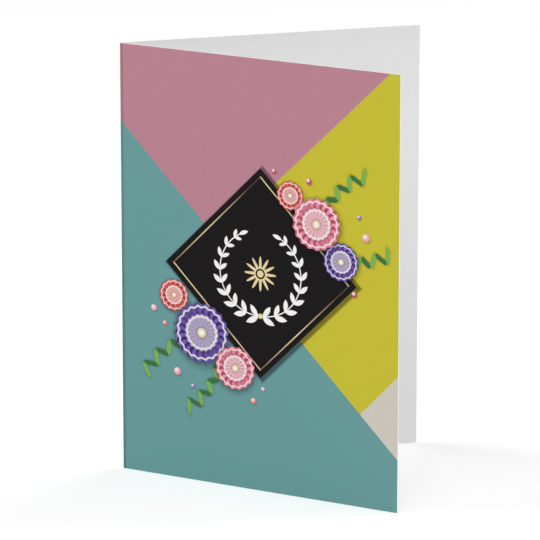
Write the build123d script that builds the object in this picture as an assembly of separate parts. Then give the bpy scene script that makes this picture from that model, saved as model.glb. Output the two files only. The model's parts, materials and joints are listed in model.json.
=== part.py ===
from build123d import *
import math
import os

# Folded greeting card in A6 portrait, standing part open on its lower cut edges.
# It is one sheet of board, creased once down its middle.  The fold is upright on the
# -X side, the front panel swings out towards -Y and the back panel towards +Y.
# The origin is the middle of the footprint, on the surface that the card stands on.

# Driving dimensions, in millimetres and degrees
PANEL_WIDTH = 105.0  # fold line to free edge, measured on the flat sheet
PANEL_HEIGHT = 148.0  # length of the fold
BOARD_THICKNESS = 0.4  # 350 g/m2 board
OPENING_ANGLE = 45.0  # between the two panels
FOLD_INNER_RADIUS = 0.2  # bend centre to the inner faces
CREASE_DEPTH = 0.05  # how far the creasing rule sinks the outer face
CREASE_SHOULDER = 0.4  # slope from the sunk channel back up to the outer face
CREASE_BEAD_HEIGHT = 0.22  # ridge that the rule raises along the inside of the fold
CREASE_BEAD_ROOT = 0.1  # radius where that ridge runs into the panels

# Sizes that follow from them
HALF_OPENING = math.radians(OPENING_ANGLE / 2)
FOLD_OUTER_RADIUS = FOLD_INNER_RADIUS + BOARD_THICKNESS
CHANNEL_RADIUS = FOLD_OUTER_RADIUS - CREASE_DEPTH
BEAD_RADIUS = FOLD_INNER_RADIUS + CREASE_BEAD_HEIGHT
BEAD_REACH = math.sqrt(BEAD_RADIUS**2 - FOLD_INNER_RADIUS**2)  # along the inner face
NEUTRAL_RADIUS = FOLD_INNER_RADIUS + BOARD_THICKNESS / 2
HALF_BEND = NEUTRAL_RADIUS * (math.pi / 2 - HALF_OPENING)  # board used up by half the bend
FLAT_LENGTH = PANEL_WIDTH - HALF_BEND  # straight run of a panel

FRONT = -1  # side of the front panel in Y
BACK = 1  # side of the back panel in Y


def panel_point(side, along, out):
    """A point of a panel, in plan, from the bend centre.

    along runs from the fold to the free edge, and out is square to the panel,
    away from the gap between the two.
    """
    run = Vector(math.cos(HALF_OPENING), side * math.sin(HALF_OPENING))
    outward = Vector(-math.sin(HALF_OPENING), side * math.cos(HALF_OPENING))
    return run * along + outward * out


def panel_outline(side):
    """One panel's outline: slope out of the channel, outer face, cut edge, inner face."""
    corners = [
        panel_point(side, 0, CHANNEL_RADIUS),
        panel_point(side, CREASE_SHOULDER, FOLD_OUTER_RADIUS),
        panel_point(side, FLAT_LENGTH, FOLD_OUTER_RADIUS),
        panel_point(side, FLAT_LENGTH, FOLD_INNER_RADIUS),
        panel_point(side, BEAD_REACH, FOLD_INNER_RADIUS),
    ]
    return Polyline(*corners)


def crease_channel():
    """The sunk outer face of the fold, from panel to panel round the bend."""
    ends = [panel_point(side, 0, CHANNEL_RADIUS) for side in (FRONT, BACK)]
    return ThreePointArc(ends[0], (-CHANNEL_RADIUS, 0), ends[1])


def bead_feet():
    """The two points where the crease's bead meets the inner faces."""
    return [panel_point(side, BEAD_REACH, FOLD_INNER_RADIUS) for side in (FRONT, BACK)]


def crease_bead():
    """The ridge along the inside of the fold."""
    front_foot, back_foot = bead_feet()
    return ThreePointArc(front_foot, (BEAD_RADIUS, 0), back_foot)


def fold_section():
    """The sheet's section across the fold, with the bend centre at the origin."""
    outline = Curve() + [crease_channel(), crease_bead(), panel_outline(FRONT), panel_outline(BACK)]
    section = make_face(outline)
    roots = [section.vertices().sort_by_distance(foot)[0] for foot in bead_feet()]
    return fillet(roots, CREASE_BEAD_ROOT)


def folded_card():
    """The section drawn up to the panels' height and centred over its footprint."""
    sheet = extrude(fold_section(), amount=PANEL_HEIGHT, dir=(0, 0, 1))
    return Pos(-sheet.bounding_box().center().X, 0, 0) * sheet


os.makedirs("parts", exist_ok=True)
export_step(folded_card(), "parts/folded_card.step")
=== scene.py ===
"""Looks for a folded greeting card: its sheet, its print, its paper and a plain studio.

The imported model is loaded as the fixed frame.  The sheet is built on the same fold section,
with finer curves and softened cut edges, and carries its place on the flat sheet in millimetres,
so that the print is drawn as on a flat proof: x from the fold to the free edge, y up.
"""

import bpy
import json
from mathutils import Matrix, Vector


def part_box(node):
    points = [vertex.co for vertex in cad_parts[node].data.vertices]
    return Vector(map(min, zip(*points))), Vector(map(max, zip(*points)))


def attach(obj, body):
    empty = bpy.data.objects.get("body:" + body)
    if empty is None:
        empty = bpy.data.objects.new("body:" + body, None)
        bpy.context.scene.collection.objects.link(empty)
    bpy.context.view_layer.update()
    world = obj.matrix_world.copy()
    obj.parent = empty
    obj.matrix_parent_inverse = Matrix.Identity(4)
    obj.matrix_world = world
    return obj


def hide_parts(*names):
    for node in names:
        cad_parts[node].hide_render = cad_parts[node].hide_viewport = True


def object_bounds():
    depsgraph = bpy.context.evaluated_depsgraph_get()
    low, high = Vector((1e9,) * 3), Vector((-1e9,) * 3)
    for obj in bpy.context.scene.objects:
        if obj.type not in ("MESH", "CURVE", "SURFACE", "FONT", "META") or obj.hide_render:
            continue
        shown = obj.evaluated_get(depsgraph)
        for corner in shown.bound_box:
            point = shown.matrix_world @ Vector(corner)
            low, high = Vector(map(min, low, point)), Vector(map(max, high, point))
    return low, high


bl_info = {
    "name": "Folded greeting card",
    "version": (1, 0, 0),
    "blender": (4, 5, 0),
    "location": "View3D > Sidebar > Card",
    "description": "Dresses a folded greeting card with board, print and studio light",
    "category": "Object",
}

import json
import math
from dataclasses import dataclass

import bmesh
import bpy
from bpy.props import FloatProperty, FloatVectorProperty, PointerProperty
from mathutils import Vector

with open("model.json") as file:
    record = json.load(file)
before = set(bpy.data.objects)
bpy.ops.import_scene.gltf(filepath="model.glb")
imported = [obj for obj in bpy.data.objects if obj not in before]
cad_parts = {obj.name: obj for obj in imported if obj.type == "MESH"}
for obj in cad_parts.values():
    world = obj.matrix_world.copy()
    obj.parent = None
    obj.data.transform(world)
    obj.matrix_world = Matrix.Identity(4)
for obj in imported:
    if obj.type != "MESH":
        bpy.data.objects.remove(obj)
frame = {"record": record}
CAD_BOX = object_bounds()
CARD_NODE = "folded_card"

MM = 1000  # millimetres in a metre
SHEET_MAP = "sheet"  # place on the flat sheet, in millimetres from the fold's foot
BAKE_MAP = "OFBake"  # layout that gives the printed panel most of a texture
FRONT, BACK = -1, 1  # sides of the two panels in Y


def clamp(value, low, high):
    """A value held between two others."""
    return min(high, max(low, value))


def linear(*screen):
    """A colour as screens show it, 0 to 255, in the linear values that shading uses."""
    shares = [value / 255 for value in screen]
    return [s / 12.92 if s <= 0.04045 else ((s + 0.055) / 1.055) ** 2.4 for s in shares]


def blend(colour, other, share):
    """One colour with a share of another in it."""
    return tuple((1 - share) * part + share * added for part, added in zip(colour, other))


def dimmed(colour, share):
    """A share of a colour's brightness."""
    return tuple(share * part for part in colour)


def length(name, description, default):
    """A size in metres that a user may change."""
    return FloatProperty(name=name, description=description, default=default, unit="LENGTH", precision=5)


def angle(name, description, degrees):
    """An angle that a user may change."""
    return FloatProperty(name=name, description=description, default=math.radians(degrees), subtype="ANGLE")


def ink(name, description, *screen):
    """A colour that a user may change, given as screens show it."""
    return FloatVectorProperty(
        name=name, description=description, default=linear(*screen), subtype="COLOR", size=3, min=0, max=1
    )


class SheetSizes(bpy.types.PropertyGroup):
    """Sizes of the sheet that its box doesn't tell."""

    board: length("Board", "Thickness of the board", 0.0004)
    fold_radius: length("Fold radius", "Bend centre to the inner faces", 0.0002)
    crease_depth: length("Crease depth", "How far the outer face sinks along the fold", 0.00005)
    crease_shoulder: length("Crease shoulder", "Slope from the channel up to the outer face", 0.0004)
    bead_height: length("Bead height", "Ridge along the inside of the fold", 0.00022)
    bead_root: length("Bead root", "Radius where the ridge runs into the panels", 0.0001)
    softening: length("Edge softening", "Rounding that the cutter leaves on the cut edges", 0.00003)


class Inks(bpy.types.PropertyGroup):
    """Colours of the board and of the print."""

    board: ink("Board", "Bare board, inside and back", 229, 229, 229)
    core: ink("Core", "Fibres that show on the cut edges", 238, 237, 234)
    pink: ink("Pink", "Field above the falling diagonal", 178, 125, 138)
    teal: ink("Teal", "Field below the falling diagonal", 100, 149, 149)
    yellow: ink("Yellow", "Field at the free edge", 191, 182, 50)
    cream: ink("Cream", "Corner between yellow and teal", 200, 192, 183)
    label: ink("Label", "Ground of the square label", 17, 14, 15)
    gold: ink("Pale gold", "Bright stretches of the label's line, star and buttons", 222, 204, 156)
    bronze: ink("Bronze", "Dark stretches of the label's line", 84, 60, 48)
    white: ink("White", "Wreath on the label and bands on the fans", 236, 234, 231)
    violet: ink("Violet", "Lit pleats of the violet fans", 124, 94, 178)
    plum: ink("Plum", "Shaded pleats of the violet fans", 58, 42, 112)
    blush: ink("Blush", "Lit pleats of the pink fans", 230, 156, 172)
    rose: ink("Rose", "Shaded pleats of the pink fans", 184, 62, 94)
    coral: ink("Coral", "Lit pleats of the coral fans", 232, 116, 104)
    brick: ink("Brick", "Shaded pleats of the coral fans", 172, 44, 58)
    leaf: ink("Leaf", "Light side of the streamers", 118, 170, 82)
    moss: ink("Moss", "Dark side of the streamers", 56, 108, 60)


class Studio(bpy.types.PropertyGroup):
    """The floor, the light from all round and where the camera stands."""

    azimuth: angle("Azimuth", "Camera, round from the front", 6.20)
    elevation: angle("Elevation", "Camera, above the horizon", 14.75)
    distance: length("Distance", "Camera to the point that it aims at", 1.481)
    aim_side: length("Aim sideways", "Aim, to the right of the card's middle", 0.0017)
    aim_height: length("Aim height", "Aim, above the floor", 0.0711)
    lens: FloatProperty(name="Lens", description="Focal length, in millimetres", default=293.8, min=1)
    sky: FloatProperty(name="Sky", description="Even light from all round", default=0.24, min=0)
    floor_radius: length("Floor radius", "Half the width of the floor", 6.0)
    floor_tone: ink("Floor", "Pale floor", 254, 254, 254)


@dataclass(frozen=True)
class Softbox:
    """A square lamp that faces the card: place and side in metres, power in watts."""

    name: str
    place: tuple
    side: float
    power: float


SOFTBOXES = (
    Softbox("overhead", (0.0, -1.2, 2.2), 3.0, 50),
    Softbox("left", (-2.2, 0.0, 1.4), 1.6, 34),
    Softbox("back_right", (1.6, 1.6, 1.4), 1.6, 13),
    Softbox("right", (2.0, 0.7, 0.4), 1.0, 28),  # shines into the gap between the panels
)
FLOOR_SIDES = 96
SENSOR_WIDTH = 36  # millimetres

# Steps of the small curves round the fold
BEND_STEPS = 10
ROOT_STEPS = 4
BEAD_STEPS = 6


class FoldSection:
    """The sheet's section across the fold, in plan, from the frame's box and the sheet's sizes."""

    def __init__(self, sizes):
        low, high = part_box(CARD_NODE)
        mounts = {mount["name"]: mount for mount in frame["record"]["mounts"]}
        outward = mounts["back_panel"]["axis"]
        self.half_opening = math.atan2(-outward[0], outward[1])
        self.cos, self.sin = math.cos(self.half_opening), math.sin(self.half_opening)
        self.sizes = sizes
        self.foot, self.top = low.z, high.z
        self.inner = sizes.fold_radius
        self.outer = sizes.fold_radius + sizes.board
        self.channel = self.outer - sizes.crease_depth
        self.bead = sizes.fold_radius + sizes.bead_height
        self.bend_x = low.x + self.channel
        self.bend_angle = math.pi / 2 - self.half_opening
        self.neutral = sizes.fold_radius + sizes.board / 2
        self.half_bend = self.neutral * self.bend_angle
        self.run = (high.x - self.bend_x + self.inner * self.sin) / self.cos
        self.panel_width = self.half_bend + self.run
        depth = self.run * self.sin + self.outer * self.cos
        if abs(depth - high.y) > sizes.board / 4:
            raise RuntimeError("the sheet's sizes don't give the packed card's depth")

    def on_panel(self, side, along, out):
        """A point from the bend centre, along the panel and square to it, away from the gap."""
        return self.bend_x + self.cos * along - self.sin * out, side * (self.sin * along + self.cos * out)

    def through_board(self, point, side):
        """Where a point lies between its panel's inner face, at 0, and its outer face, at 1."""
        out = side * point.y * self.cos - (point.x - self.bend_x) * self.sin
        return (out - self.inner) / self.sizes.board

    def round_bend(self, side, turn, radius):
        """A point round the bend centre, turned from the middle of the spine."""
        return self.bend_x - radius * math.cos(turn), side * radius * math.sin(turn)

    def half(self, side, inset):
        """One panel's outline from the spine to the bead, drawn in by inset.

        Gives points as (x, y, place on the sheet) and, for each step between two of them,
        (which face of the sheet it is on, whether it is curved).
        """
        sizes, corner = self.sizes, 2 * self.sizes.softening
        points, steps = [], []

        def add(where, place, face, curved=False):
            points.append((*where, place))
            steps.append((face, curved))

        for step in range(BEND_STEPS + 1):
            turn = self.bend_angle * step / BEND_STEPS
            add(self.round_bend(side, turn, self.channel - inset), self.neutral * turn, "outside", True)
        for along, out, face in (
            (sizes.crease_shoulder, self.outer - inset, "outside"),
            (self.run - corner, self.outer - inset, "cut"),
            (self.run - inset, self.outer - corner, "cut"),
            (self.run - inset, self.inner + corner, "cut"),
            (self.run - corner, self.inner + inset, "inside"),
        ):
            add(self.on_panel(side, along, out), self.half_bend + along, face)

        root = sizes.bead_root
        root_out = self.inner - root
        root_along = math.sqrt((self.bead + root) ** 2 - root_out**2)
        root_tilt = math.atan2(root_out, root_along)
        for step in range(ROOT_STEPS + 1):
            turn = math.pi / 2 + (math.pi / 2 + root_tilt) * step / ROOT_STEPS
            along = root_along + (root + inset) * math.cos(turn)
            out = root_out + (root + inset) * math.sin(turn)
            add(self.on_panel(side, along, out), self.half_bend + along, "inside", True)
        bead_start = math.pi - self.half_opening - root_tilt
        bead_place = points[-1][2]
        for step in range(1, BEAD_STEPS + 1):
            share = step / BEAD_STEPS
            turn = bead_start + (math.pi - bead_start) * share
            add(self.round_bend(side, turn, self.bead - inset), bead_place * (1 - share), "inside", True)
        return points, steps[:-1]

    def outline(self, inset):
        """The whole section, counter-clockwise from the spine: points, then steps with their side."""
        front, front_steps = self.half(FRONT, inset)
        back, back_steps = self.half(BACK, inset)
        points = [*front, *((x, y, -place) for x, y, place in back[-2:0:-1])]
        steps = [(*step, FRONT) for step in front_steps] + [(*step, BACK) for step in reversed(back_steps)]
        return points, steps


PRINTED, PLAIN, CUT = range(3)  # the sheet's material slots
LOWER_EDGE, UPPER_EDGE, FRONT_EDGE, BACK_EDGE = range(4)  # the cut edges, in the order of their strips


class SheetMesh:
    """The folded sheet as a mesh, with its place on the flat sheet and a layout for textures."""

    # Left, bottom, width and height of each face on the layout
    SHARES = {
        ("outside", FRONT): (0.0, 0.0, 0.700, 0.994),
        ("inside", FRONT): (0.724, 0.005, 0.270, 0.32),
        ("inside", BACK): (0.724, 0.337, 0.270, 0.32),
        ("outside", BACK): (0.724, 0.669, 0.270, 0.32),
    }
    STRIP_LEFT, STRIP_PITCH, STRIP_WIDTH = 0.703, 0.005, 0.003  # narrow strips for the cut edges
    STRIP_LOW, STRIP_HIGH = 0.002, 0.998

    def __init__(self, section):
        self.section = section
        self.mesh = bmesh.new()
        self.sheet = self.mesh.loops.layers.uv.new(SHEET_MAP)
        self.bake = self.mesh.loops.layers.uv.new(BAKE_MAP)
        self.build()

    def build(self):
        """Walls between four rings of the section, of which the outer two are drawn in, and two caps."""
        foot, top, soft = self.section.foot, self.section.top, self.section.sizes.softening
        rings = []
        for z, inset in ((foot, soft), (foot + soft, 0), (top - soft, 0), (top, soft)):
            points, steps = self.section.outline(inset)
            rings.append([self.mesh.verts.new((x, y, z)) for x, y, _ in points])
        self.places = [place for _, _, place in points]
        around = range(len(points))
        for edge, low, high in zip((LOWER_EDGE, None, UPPER_EDGE), rings, rings[1:]):
            for at, (face, curved, side) in zip(around, steps):
                after = (at + 1) % len(points)
                made = self.mesh.faces.new((low[at], low[after], high[after], high[at]))
                made.smooth = curved
                corners = (at, after, after, at)
                if edge is None:
                    self.finish_wall(made, corners, face, side)
                else:
                    self.finish_edge(made, corners, edge)
        self.finish_edge(self.mesh.faces.new(reversed(rings[0])), reversed(around), LOWER_EDGE)
        self.finish_edge(self.mesh.faces.new(rings[-1]), around, UPPER_EDGE)

    def finish_wall(self, made, corners, face, side):
        """Slot and both maps of an upright face."""
        foot, top = self.section.foot, self.section.top
        printed = (face, side) == ("outside", FRONT)
        made.material_index = CUT if face == "cut" else PRINTED if printed else PLAIN
        for loop, corner in zip(made.loops, corners):
            place, point = self.places[corner], loop.vert.co
            up = (point.z - foot) / (top - foot)
            loop[self.sheet].uv = (place * MM, point.z * MM)
            if face == "cut":
                edge = FRONT_EDGE if side == FRONT else BACK_EDGE
                loop[self.bake].uv = self.on_strip(edge, self.section.through_board(point, side), up)
            else:
                left, bottom, width, height = self.SHARES[face, side]
                across = min(1, abs(place) / self.section.panel_width)
                loop[self.bake].uv = (left + width * across, bottom + height * up)

    def finish_edge(self, made, corners, edge):
        """Slot and both maps of a face on the upper or lower cut edge."""
        made.material_index = CUT
        for loop, corner in zip(made.loops, corners):
            place, point = self.places[corner], loop.vert.co
            side = FRONT if place >= 0 else BACK
            along = 0.5 + place / self.section.panel_width / 2
            loop[self.sheet].uv = (place * MM, point.z * MM)
            loop[self.bake].uv = self.on_strip(edge, self.section.through_board(point, side), along)

    def on_strip(self, edge, across, along):
        """A place on the layout's strip for a cut edge."""
        left = self.STRIP_LEFT + self.STRIP_PITCH * edge
        return left + self.STRIP_WIDTH * clamp(across, 0, 1), clamp(along, self.STRIP_LOW, self.STRIP_HIGH)

    def to_object(self, name):
        """The mesh as an object of the scene."""
        data = bpy.data.meshes.new(name)
        self.mesh.to_mesh(data)
        self.mesh.free()
        piece = bpy.data.objects.new(name, data)
        bpy.context.scene.collection.objects.link(piece)
        return piece


# Places of a Mix node's colour sockets, whose names repeat
MIX_SHARE, MIX_UNDER, MIX_OVER = 0, 6, 7
MIX_RESULT = 2


class Value:
    """A number that varies over a surface: a socket that Python's arithmetic works on."""

    def __init__(self, finish, socket):
        self.finish = finish
        self.socket = socket

    def math(self, operation, *others):
        """The result of a Math node on this value and others."""
        return self.finish.math(operation, self, *others)

    def __add__(self, other):
        return self.math("ADD", other)

    __radd__ = __add__

    def __sub__(self, other):
        return self.math("SUBTRACT", other)

    def __rsub__(self, other):
        return self.finish.math("SUBTRACT", other, self)

    def __mul__(self, other):
        return self.math("MULTIPLY", other)

    __rmul__ = __mul__

    def __truediv__(self, other):
        return self.math("DIVIDE", other)

    def __rtruediv__(self, other):
        return self.finish.math("DIVIDE", other, self)

    def __pow__(self, other):
        return self.math("POWER", other)

    def __rpow__(self, other):
        return self.finish.math("POWER", other, self)

    def __abs__(self):
        return self.math("ABSOLUTE")


class Finish:
    """A material in the making, with short ways to add nodes to it."""

    def __init__(self, name):
        self.material = bpy.data.materials.new(name)
        self.material.use_nodes = True
        self.tree = self.material.node_tree
        self.tree.nodes.clear()

    def node(self, kind, settings, sockets):
        """A node of a kind: its settings first, then a value or a link for each named socket."""
        made = self.tree.nodes.new("ShaderNode" + kind)
        for name, setting in settings.items():
            setattr(made, name, setting)
        for name, given in sockets.items():
            source = given.socket if isinstance(given, Value) else given
            if isinstance(source, bpy.types.NodeSocket):
                self.tree.links.new(source, made.inputs[name])
            else:
                made.inputs[name].default_value = source
        return made

    def math(self, operation, *terms):
        """The result of a Math node on values and numbers."""
        made = self.node("Math", {"operation": operation}, dict(enumerate(terms)))
        return Value(self, made.outputs["Value"])

    def mix(self, share, ground, colour, mode="MIX"):
        """A colour laid on a ground over a share of it, both as sockets or as red, green and blue."""
        sides = (side if isinstance(side, bpy.types.NodeSocket) else (*side, 1) for side in (ground, colour))
        sockets = dict(zip((MIX_SHARE, MIX_UNDER, MIX_OVER), (share, *sides)))
        made = self.node("Mix", {"data_type": "RGBA", "blend_type": mode}, sockets)
        return made.outputs[MIX_RESULT]

    def step(self, value, spread):
        """From 0 to 1 as a value passes 0, evenly eased over a spread."""
        sockets = {"Value": value, "From Min": -spread / 2, "From Max": spread / 2}
        made = self.node("MapRange", {"interpolation_type": "SMOOTHSTEP"}, sockets)
        return Value(self, made.outputs["Result"])

    def noise(self, place, grains, detail=2.0, stretch=(1, 1, 1)):
        """Even noise about 0.5, with a number of grains in each unit of the place."""
        moved = self.node("Mapping", {}, {"Vector": place, "Scale": stretch})
        sockets = {"Vector": moved.outputs["Vector"], "Scale": grains, "Detail": detail}
        made = self.node("TexNoise", {}, sockets)
        return Value(self, made.outputs["Fac"])

    def sheet_place(self):
        """The place on the flat sheet, in millimetres."""
        return self.node("UVMap", {"uv_map": SHEET_MAP}, {}).outputs["UV"]

    def object_place(self):
        """The place in the object, in metres."""
        return self.node("TexCoord", {}, {}).outputs["Object"]

    def shade(self, sockets, relief, depth):
        """Ends the material: a shader with these sockets and a relief of that depth in metres."""
        bump = self.node("Bump", {}, {"Strength": 1.0, "Distance": depth, "Height": relief})
        shader = self.node("BsdfPrincipled", {}, {**sockets, "Normal": bump.outputs["Normal"]})
        self.node("OutputMaterial", {}, {"Surface": shader.outputs["BSDF"]})
        return self.material


@dataclass(frozen=True)
class Shadow:
    """A drawn shadow: its reach past its shape, the softness of its edge, and its depth from 0 to 1."""

    growth: float
    spread: float
    depth: float


PRINT_SHARPNESS = 0.09  # millimetres over which an ink's edge fades
PRINT_CLOUDS = 0.07  # how far faint clouds darken the print
SHADOW_TONE = (0.10, 0.08, 0.12)
# Painted shade: the print is darkened along the fold, where the crease turns away from the light
CREASE_SHADE_REACH = 1.2  # fold to the middle of the painted shade along the crease, in millimetres
CREASE_SHADE_SPREAD = 0.9
CREASE_SHADE_DEPTH = 0.32

# Borders of the fields, in millimetres: height at the fold, then rise for each millimetre across
TEAL_BORDER = (121.85, -0.988)
YELLOW_BORDER = (49.1, 0.9755)
CREAM_BORDER = (-64.6, 1.062)

# The square label, stood on a corner, with a line inside its edge and a drawn shadow, in millimetres
LABEL_MIDDLE = (53.45, 75.2)
LABEL_REACH = 36.0  # middle to corner
LABEL_SHADOW_SHIFT = (0.8, -0.3)
LABEL_SHADOW = Shadow(growth=1.2, spread=1.5, depth=0.75)
LINE_REACH = 33.1
LINE_WIDTH = 0.4
SHEEN_AT = -0.2  # where the line is brightest along its two rising sides, from -1 to 1
SHEEN_SPREAD = 0.9  # how far from there it is down to bronze
SHEEN_CORNER = 4.0  # square millimetres over which rising sides give way to falling ones

# The wreath and the star on the label, in millimetres
WREATH_RADIUS = 14.5
WREATH_SWEEP = math.radians(150)  # from the foot up each side
WREATH_GAP = 0.8  # middle line to the foot of a branch
STEM_WIDTH = 0.4
LEAF_LENGTH = 5.2
LEAF_WIDTH = 2.0
LEAF_PITCH = 4.47
LEAF_LEAN = math.radians(40)  # leaf against stem
LEAF_TAPER = 0.4  # how much smaller the last pair is
TIP_LENGTH = 3.75
TIP_WIDTH = 1.4
KNOT_RADIUS = 0.9
STAR_RADIUS = 6.0
STAR_RAYS = 12
STAR_BODY = 0.38  # between two rays, as a share of the radius
STAR_POWER = 3  # a higher one narrows the rays
STAR_RING = 0.30
STAR_EYE = 0.20

# Proportions of a fan, as shares of its radius
FAN_DISCS = ((1.0, 0.0, 0.0), (0.62, 0.35, 0.62))  # size, whitening of the paper, turn in pleats
FAN_NOTCH = 0.07  # dip of the rim where two pleats meet
FAN_BAND_AT = 0.88
FAN_BAND_WIDTH = 0.07
FAN_BAND_COVER = 0.75  # how far the band hides the paper
FAN_FOLD_SPREAD = 0.12  # softness of the line between the two sides of a pleat
FAN_BUTTON = 0.16
FAN_EYE = 0.09
FAN_SHADOW_SHIFT = (0.07, -0.12)
FAN_SHADOW = Shadow(growth=0.0, spread=0.5, depth=0.55)
DISC_SHADOW = Shadow(growth=0.06, spread=0.2, depth=0.4)
BUTTON_SHADOW = Shadow(growth=0.04, spread=0.1, depth=0.4)
FAN_LIGHT = math.radians(125)  # where the light in the drawing comes from
FAN_HOLLOW = 0.18  # how much darker the pleats are at the middle

# Streamers, in millimetres
STREAMER_WIDTH = 2.2
STREAMER_TURN = 0.55  # share of the width that is left where the ribbon turns
STREAMER_SLANT = 0.75  # distance square to the waving ribbon, as a share of that square to its arc
STREAMER_SWING = 1.7
STREAMER_START = 0.3  # share of the swing at the ribbon's start
STREAMER_SIDES_SPREAD = 0.7  # softness of the line between the ribbon's two sides
STREAMER_SHADOW = Shadow(growth=0.3, spread=1.4, depth=0.4)

# Confetti, as shares of its radius
DOT_SHADOW_SHIFT = (0.3, -0.4)
DOT_SHADOW = Shadow(growth=0.0, spread=1.0, depth=0.4)
DOT_GLINT_SHIFT = (-0.3, 0.35)
DOT_GLINT = 0.5


@dataclass(frozen=True)
class Fan:
    """A pleated paper fan opened to a full disc, with a smaller one on top."""

    x: float
    y: float
    radius: float
    pleats: int
    deep: str
    pale: str


@dataclass(frozen=True)
class Streamer:
    """A waving ribbon that runs along an arc; its heading is in degrees, and a positive bend turns left."""

    x: float
    y: float
    heading: float
    bend: float
    length: float
    waves: float


@dataclass(frozen=True)
class Dot:
    """A round bit of confetti."""

    x: float
    y: float
    radius: float
    tone: str


STREAMERS = (
    Streamer(30.0, 50.0, 190, 30, 27, 4.25),
    Streamer(38.0, 44.0, 262, -26, 24, 4.25),
    Streamer(76.0, 96.0, 70, -28, 25, 4.25),
    Streamer(84.0, 84.0, 350, 24, 19, 3.25),
)
FANS = (
    Fan(20.4, 63.8, 5.6, 14, "brick", "coral"),
    Fan(31.0, 52.0, 10.6, 20, "plum", "violet"),
    Fan(43.8, 41.4, 7.6, 16, "rose", "blush"),
    Fan(64.6, 103.2, 5.0, 14, "brick", "coral"),
    Fan(83.6, 83.0, 6.6, 16, "plum", "violet"),
    Fan(74.4, 94.6, 9.0, 18, "rose", "blush"),
)
DOTS = (
    Dot(12.6, 58.4, 1.1, "blush"),
    Dot(16.8, 53.6, 0.8, "coral"),
    Dot(21.6, 37.4, 1.3, "blush"),
    Dot(27.6, 33.0, 0.8, "violet"),
    Dot(50.8, 31.0, 1.0, "coral"),
    Dot(54.4, 35.6, 0.7, "blush"),
    Dot(58.6, 110.8, 0.8, "rose"),
    Dot(71.6, 108.8, 1.1, "rose"),
    Dot(92.8, 92.2, 1.3, "blush"),
    Dot(90.2, 98.8, 0.8, "violet"),
    Dot(88.6, 72.6, 1.0, "rose"),
)


def beside(round_shape, shift):
    """The middle of a fan or a dot, shifted by shares of its radius."""
    across, up = shift
    return round_shape.x + across * round_shape.radius, round_shape.y + up * round_shape.radius


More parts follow.
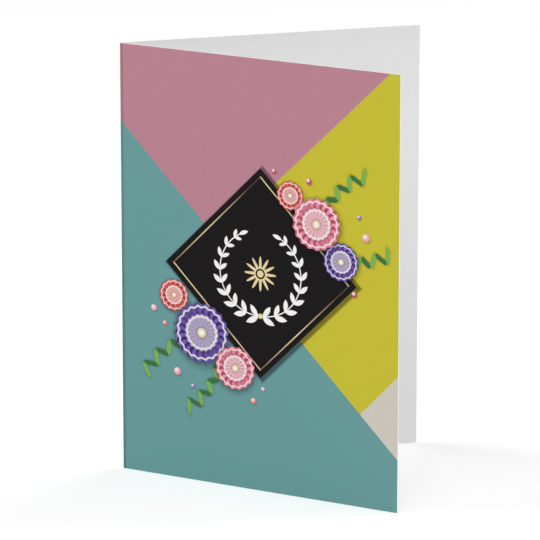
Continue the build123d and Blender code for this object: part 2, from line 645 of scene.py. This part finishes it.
class FrontPrint:
    """The print of the front panel, laid ink by ink.

    Each shape is a value in millimetres that is above 0 inside it, so shapes join by their maximum
    and cut each other by their minimum.
    """

    def __init__(self, finish, inks):
        self.finish = finish
        self.inks = inks
        apart = finish.node("SeparateXYZ", {}, {"Vector": finish.sheet_place()})
        self.x = Value(finish, apart.outputs["X"])
        self.y = Value(finish, apart.outputs["Y"])
        self.colour = inks.pink
        self.lay_fields()
        self.lay_label()
        self.lay_line()
        self.lay_wreath()
        self.lay_star()
        for streamer in STREAMERS:
            self.lay_streamer(streamer)
        for dot in DOTS:
            self.lay_dot(dot)
        for fan in FANS:
            self.lay_fan(fan)

    def edge(self, shape):
        """1 inside a shape and 0 outside, with a crisp printed edge."""
        return self.finish.step(shape, PRINT_SHARPNESS)

    def lay(self, shape, colour):
        """An ink, or a paper drawn in several inks, over a shape."""
        self.colour = self.finish.mix(self.edge(shape), self.colour, colour)

    def cast(self, shape, shadow, size=1):
        """A shape's shadow on all that is laid so far, its lengths as shares of a size."""
        share = self.finish.step(shape + shadow.growth * size, shadow.spread * size) * shadow.depth
        self.colour = self.finish.mix(share, self.colour, SHADOW_TONE, "MULTIPLY")

    def from_point(self, x, y):
        """Offsets from a point, and the distance to it."""
        across, up = self.x - x, self.y - y
        return across, up, (across * across + up * up).math("SQRT")

    def disc(self, x, y, radius):
        """A round shape."""
        _, _, apart = self.from_point(x, y)
        return radius - apart

    def diamond(self, x, y, reach):
        """A square stood on a corner."""
        return reach - abs(self.x - x) - abs(self.y - y)

    def below(self, border):
        """All that lies below a straight border."""
        height, rise = border
        return self.x * rise + height - self.y

    def along_arc(self, x, start_x, start_y, heading, bend):
        """How far a place lies along an arc from its start, and how far to its left."""
        middle_x = start_x - bend * math.sin(heading)
        middle_y = start_y + bend * math.cos(heading)
        turn = math.copysign(1, bend)
        out_x, out_y = turn * math.sin(heading), -turn * math.cos(heading)
        across, up = x - middle_x, self.y - middle_y
        ahead = (up * out_x - across * out_y) * turn
        level = across * out_x + up * out_y
        along = ahead.math("ARCTAN2", level) * abs(bend)
        left = (abs(bend) - (across * across + up * up).math("SQRT")) * turn
        return along, left

    def lay_fields(self):
        """Yellow and its cream corner against the first field, then teal across the foot of them all."""
        self.lay(self.below(YELLOW_BORDER), self.inks.yellow)
        self.lay(self.below(CREAM_BORDER), self.inks.cream)
        self.lay(self.below(TEAL_BORDER), self.inks.teal)

    def lay_label(self):
        """The dark square and its shadow."""
        (x, y), (shift_x, shift_y) = LABEL_MIDDLE, LABEL_SHADOW_SHIFT
        self.cast(self.diamond(x + shift_x, y + shift_y, LABEL_REACH), LABEL_SHADOW)
        self.lay(self.diamond(x, y, LABEL_REACH), self.inks.label)

    def lay_line(self):
        """A gilt line, bright along its falling sides and fading to bronze along the others."""
        x, y = LABEL_MIDDLE
        across, up = self.x - x, self.y - y
        falling = self.finish.step(across * up, SHEEN_CORNER)
        fading = 1 - abs((across + up) / LINE_REACH - SHEEN_AT) / SHEEN_SPREAD
        gilt = self.finish.mix(falling.math("MAXIMUM", fading), self.inks.bronze, self.inks.gold)
        self.line = self.edge(LINE_WIDTH / math.sqrt(2) - abs(self.diamond(x, y, LINE_REACH)))
        self.colour = self.finish.mix(self.line, self.colour, gilt)

    def lay_wreath(self):
        """Two mirrored branches, each with pairs of leaves and one at its tip, and a knot at their foot."""
        middle_x, middle_y = LABEL_MIDDLE
        foot = middle_y - WREATH_RADIUS
        mirrored = abs(self.x - middle_x) + middle_x
        along, left = self.along_arc(mirrored, middle_x + WREATH_GAP, foot, 0, WREATH_RADIUS)
        aside, reach = abs(left), WREATH_RADIUS * WREATH_SWEEP
        taper = 1 - along * (LEAF_TAPER / reach)
        past = along.math("FLOORED_MODULO", LEAF_PITCH)
        cos, sin = math.cos(LEAF_LEAN), math.sin(LEAF_LEAN)
        forward, off = past * cos + aside * sin, abs(aside * cos - past * sin)
        leaves = taper * (LEAF_WIDTH / 2) * (1 - (forward / (taper * LEAF_LENGTH) * 2 - 1) ** 2) - off
        stretch = along.math("MINIMUM", reach - along)
        branch = leaves.math("MAXIMUM", STEM_WIDTH / 2 - aside).math("MINIMUM", stretch)
        tip = TIP_WIDTH / 2 * (1 - ((along - reach) * (2 / TIP_LENGTH) - 1) ** 2) - aside
        self.lay(branch.math("MAXIMUM", tip), self.inks.white)
        self.lay(self.disc(middle_x, foot, KNOT_RADIUS), self.inks.gold)

    def lay_star(self):
        """A star of pointed rays with a ring and an eye."""
        across, up, apart = self.from_point(*LABEL_MIDDLE)
        rays = abs((up.math("ARCTAN2", across) * (STAR_RAYS / 2)).math("COSINE")) ** STAR_POWER
        self.lay(STAR_RADIUS * (STAR_BODY + (1 - STAR_BODY) * rays) - apart, self.inks.gold)
        self.lay(STAR_RADIUS * STAR_RING - apart, self.inks.label)
        self.lay(STAR_RADIUS * STAR_EYE - apart, self.inks.gold)

    def lay_streamer(self, streamer):
        """A ribbon that waves about an arc, further as it goes, and shows its two sides by turns."""
        heading, reach = math.radians(streamer.heading), streamer.length
        along, left = self.along_arc(self.x, streamer.x, streamer.y, heading, streamer.bend)
        phase = along * (math.tau * streamer.waves / reach)
        facing = phase.math("COSINE")
        swing = STREAMER_SWING * (STREAMER_START + along * ((1 - STREAMER_START) / reach))
        off = abs(left - phase.math("SINE") * swing) * STREAMER_SLANT
        half_width = STREAMER_WIDTH / 2 * (STREAMER_TURN + (1 - STREAMER_TURN) * abs(facing))
        stretch = along.math("MINIMUM", reach - along)
        ribbon = (half_width - off).math("MINIMUM", stretch)
        self.cast(ribbon, STREAMER_SHADOW)
        lit = self.finish.step(facing, STREAMER_SIDES_SPREAD)
        self.lay(ribbon, self.finish.mix(lit, self.inks.moss, self.inks.leaf))

    def lay_dot(self, dot):
        """A bit of confetti, rounded by a glint and a shadow."""
        self.cast(self.disc(*beside(dot, DOT_SHADOW_SHIFT), dot.radius), DOT_SHADOW, dot.radius)
        glint = self.disc(*beside(dot, DOT_GLINT_SHIFT), DOT_GLINT * dot.radius)
        lit = self.finish.step(glint, spread=dot.radius)
        paper = self.finish.mix(lit, getattr(self.inks, dot.tone), self.inks.white)
        self.lay(self.disc(dot.x, dot.y, dot.radius), paper)

    def lay_fan(self, fan):
        """Two pleated discs, each pleat with a lit and a shaded side, and a button over their middle."""
        radius = fan.radius
        self.cast(self.disc(*beside(fan, FAN_SHADOW_SHIFT), radius), FAN_SHADOW, radius)
        across, up, apart = self.from_point(fan.x, fan.y)
        bearing = up.math("ARCTAN2", across)
        sunny = (bearing - FAN_LIGHT).math("SINE") * 0.5
        for size, whitening, turn in FAN_DISCS:
            pleat = (bearing * (fan.pleats / math.tau) + turn).math("FRACT") * 2 - 1
            rim = size * radius * (1 - FAN_NOTCH * abs(pleat))
            self.cast(rim - apart, DISC_SHADOW, radius)
            facing = self.finish.step(pleat, FAN_FOLD_SPREAD) * 2 - 1
            lit = (0.5 + sunny * facing - FAN_HOLLOW * (1 - apart / rim)).math("MAXIMUM", 0)
            tones = (getattr(self.inks, tone) for tone in (fan.deep, fan.pale))
            paper = self.finish.mix(lit, *(blend(tone, self.inks.white, whitening) for tone in tones))
            band = FAN_BAND_WIDTH / 2 * radius - abs(apart / rim - FAN_BAND_AT) * (size * radius)
            paper = self.finish.mix(self.edge(band) * FAN_BAND_COVER, paper, self.inks.white)
            self.lay(rim - apart, paper)
        button = FAN_BUTTON * radius - apart
        self.cast(button, BUTTON_SHADOW, radius)
        self.lay(button, self.inks.gold)
        self.lay(FAN_EYE * radius - apart, self.inks.white)


def printed_front(inks):
    """Satin print over the board's fine tooth, glossier on the gilt line, with painted shade along the
    crease.
    """
    finish = Finish("printed_front")
    front = FrontPrint(finish, inks)
    place = finish.sheet_place()
    cloud = finish.noise(place, grains=0.35, detail=4)
    tooth = finish.noise(place, grains=5, detail=3)
    swell = finish.noise(place, grains=1.2)
    # painted shade: a darkened band along the fold
    crease = finish.step(CREASE_SHADE_REACH - front.x, CREASE_SHADE_SPREAD)
    # faint clouds in the print, plus the painted shade along the crease
    shade = PRINT_CLOUDS * cloud + CREASE_SHADE_DEPTH * crease
    sockets = {
        "Base Color": finish.mix(shade, front.colour, SHADOW_TONE, "MULTIPLY"),
        "Roughness": 0.52 + 0.14 * tooth - 0.15 * front.line,
        "Specular IOR Level": 0.10,
    }
    return finish.shade(sockets, relief=tooth + 0.5 * swell, depth=0.012 / MM)


def plain_board(inks):
    """Bare board: white, matt, with faint clouds and lying fibres."""
    finish = Finish("plain_board")
    place = finish.sheet_place()
    cloud = finish.noise(place, grains=0.12, detail=4)
    fibres = finish.noise(place, grains=2.2, detail=4, stretch=(1.0, 0.35, 1.0))
    tooth = finish.noise(place, grains=6, detail=3)
    sockets = {
        "Base Color": finish.mix(0.6 * cloud + 0.4 * fibres, dimmed(inks.board, 0.955), inks.board),
        "Roughness": 0.62 + 0.16 * tooth,
        "Specular IOR Level": 0.22,
    }
    return finish.shade(sockets, relief=0.6 * tooth + fibres, depth=0.014 / MM)


def cut_edge(inks):
    """The board's core where the knife went through: layered fibres, a little rough."""
    finish = Finish("cut_edge")
    fibres = finish.noise(finish.object_place(), grains=9 * MM, detail=3, stretch=(1.0, 1.0, 0.25))
    sockets = {
        "Base Color": finish.mix(fibres, dimmed(inks.core, 0.86), inks.core),
        "Roughness": 0.78 + 0.12 * fibres,
        "Specular IOR Level": 0.15,
    }
    return finish.shade(sockets, relief=fibres, depth=0.02 / MM)


def pale_floor(tone):
    """Matt studio floor with the slightest mottle."""
    finish = Finish("pale_floor")
    cloud = finish.noise(finish.object_place(), grains=3, detail=3)
    sockets = {
        "Base Color": finish.mix(cloud, dimmed(tone, 0.985), tone),
        "Roughness": 0.85 + 0.1 * cloud,
        "Specular IOR Level": 0.1,
    }
    return finish.shade(sockets, relief=cloud, depth=0.05 / MM)


class CARD_OT_sheet(bpy.types.Operator):
    """Build the folded sheet with its printed, plain and cut surfaces"""

    bl_idname = "card.sheet"
    bl_label = "Folded sheet"

    def execute(self, context):
        section = FoldSection(context.scene.card_sheet)
        piece = SheetMesh(section).to_object("folded_card_sheet")
        inks = context.scene.card_inks
        for finish in (printed_front(inks), plain_board(inks), cut_edge(inks)):
            piece.data.materials.append(finish)
        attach(piece, "root")
        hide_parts(CARD_NODE)
        return {"FINISHED"}


class CARD_OT_stage(bpy.types.Operator):
    """Set the floor, the lamps and the camera"""

    bl_idname = "card.stage"
    bl_label = "Studio"

    def execute(self, context):
        studio = context.scene.card_studio
        self.lay_floor(context, studio)
        self.hang_lamps(context)
        self.light_sky(context, studio)
        self.stand_camera(context, studio)
        context.scene.view_settings.view_transform = "Standard"
        return {"FINISHED"}

    def lay_floor(self, context, studio):
        """A wide round floor under the card's foot."""
        shape = bmesh.new()
        bmesh.ops.create_circle(shape, cap_ends=True, radius=studio.floor_radius, segments=FLOOR_SIDES)
        data = bpy.data.meshes.new("floor")
        shape.to_mesh(data)
        shape.free()
        floor = bpy.data.objects.new("floor", data)
        context.scene.collection.objects.link(floor)
        floor.location.z = CAD_BOX[0].z
        data.materials.append(pale_floor(studio.floor_tone))

    def hang_lamps(self, context):
        """The softboxes, turned to the card's middle."""
        middle = (CAD_BOX[0] + CAD_BOX[1]) / 2
        for box in SOFTBOXES:
            lamp = bpy.data.lights.new(box.name, "AREA")
            lamp.energy = box.power
            lamp.size = box.side
            hung = bpy.data.objects.new(box.name, lamp)
            hung.location = box.place
            hung.rotation_euler = (middle - hung.location).to_track_quat("-Z", "Y").to_euler()
            context.scene.collection.objects.link(hung)

    def light_sky(self, context, studio):
        """White light from all round."""
        world = bpy.data.worlds.new("studio")
        world.use_nodes = True
        sky = world.node_tree.nodes["Background"].inputs
        sky["Color"].default_value = (1, 1, 1, 1)
        sky["Strength"].default_value = studio.sky
        context.scene.world = world

    def stand_camera(self, context, studio):
        """A long lens, level from side to side and tilted down to its aim."""
        data = bpy.data.cameras.new("camera")
        data.sensor_width = SENSOR_WIDTH
        data.lens = studio.lens
        data.clip_end = 4 * studio.floor_radius
        camera = bpy.data.objects.new("camera", data)
        camera.rotation_euler = (math.pi / 2 - studio.elevation, 0, studio.azimuth)
        back_off = camera.rotation_euler.to_matrix() @ Vector((studio.aim_side, 0, studio.distance))
        camera.location = Vector((0, 0, studio.aim_height)) + back_off
        context.scene.collection.objects.link(camera)
        context.scene.camera = camera


class CARD_PT_panel(bpy.types.Panel):
    """Lists the card's steps and settings"""

    bl_label = "Folded greeting card"
    bl_idname = "CARD_PT_panel"
    bl_space_type = "VIEW_3D"
    bl_region_type = "UI"
    bl_category = "Card"

    def draw(self, context):
        for step in OPERATORS:
            self.layout.operator(step.bl_idname)
        for name in SETTINGS:
            box = self.layout.box()
            settings = getattr(context.scene, name)
            for field in settings.__annotations__:
                box.prop(settings, field)


OPERATORS = (CARD_OT_sheet, CARD_OT_stage)
SETTINGS = {"card_sheet": SheetSizes, "card_inks": Inks, "card_studio": Studio}
CLASSES = (*SETTINGS.values(), *OPERATORS, CARD_PT_panel)


def register():
    """Makes the settings, operators and panel known to Blender."""
    for made in CLASSES:
        bpy.utils.register_class(made)
    for name, group in SETTINGS.items():
        setattr(bpy.types.Scene, name, PointerProperty(type=group))


def unregister():
    """Takes them away again."""
    for name in SETTINGS:
        delattr(bpy.types.Scene, name)
    for made in reversed(CLASSES):
        bpy.utils.unregister_class(made)


def main():
    """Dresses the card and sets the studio."""
    register()
    bpy.ops.card.sheet()
    bpy.ops.card.stage()


if __name__ == "__main__":
    main()
